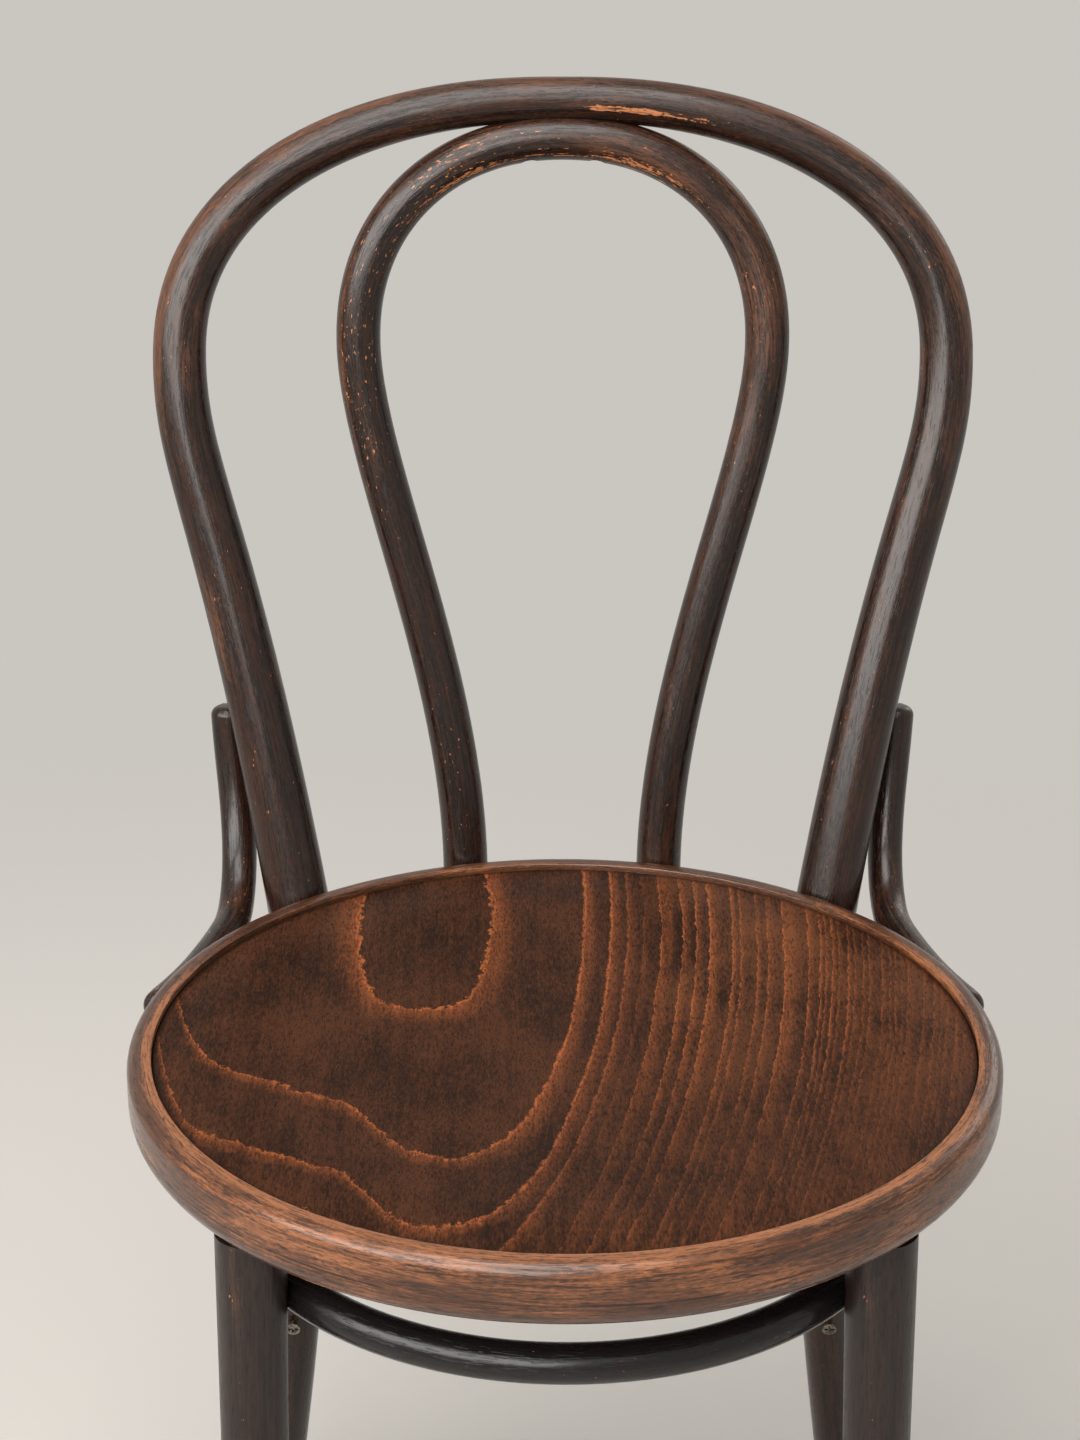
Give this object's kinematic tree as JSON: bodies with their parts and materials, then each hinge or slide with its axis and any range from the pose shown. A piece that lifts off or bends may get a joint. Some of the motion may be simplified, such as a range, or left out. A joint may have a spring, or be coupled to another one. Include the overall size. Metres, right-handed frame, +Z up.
{
  "type": "bentwood chair",
  "caption": "Dining chair of bent round rods: a hoop back that runs down into the back legs, an inner loop, a round dished seat in a solid ring, hip braces and a ring between the legs.",
  "frame": {"origin": "on the floor, midway between the seat ring's front and the hoop's back, on the plane of symmetry", "axes": "+X to the right of someone looking at the chair from its front towards its back, +Y to the back, +Z up"},
  "size_m": [0.4148, 0.4875, 0.856],
  "materials": {
    "dark_beech": "satin lacquer over dark walnut stain, worn on the edges",
    "seat_veneer": "satin lacquer over dark walnut stain on plain-sliced veneer",
    "clear_plastic": "clear, slightly yellowed",
    "glide_plastic": "matte moulded",
    "screw_steel": "zinc plated, dulled",
    "screw_brass": "brass plated"
  },
  "bodies": {
    "root": {"back_hoop": "dark_beech", "inner_loop": "dark_beech", "seat_ring": "dark_beech", "leg_ring": "dark_beech", "front_leg_right": "dark_beech", "front_leg_left": "dark_beech", "hip_brace_right": "dark_beech", "hip_brace_left": "dark_beech", "seat_panel": "seat_veneer", "leg_pad_right": "clear_plastic", "leg_pad_left": "clear_plastic", "foot_glide_front_right": "glide_plastic", "foot_glide_front_left": "glide_plastic", "foot_glide_back_right": "glide_plastic", "foot_glide_back_left": "glide_plastic", "hoop_bolts": "screw_steel", "hoop_bolt_washers": "screw_steel", "hoop_bolt_nuts": "screw_steel", "loop_foot_screws": "screw_steel", "loop_top_screws": "screw_steel", "brace_top_screws": "screw_steel", "brace_end_screws": "screw_steel", "leg_ring_screws": "screw_steel", "tenon_lock_screws": "screw_steel", "glide_nails": "screw_steel", "leg_pad_screws": "screw_brass"}
  },
  "joints": []
}
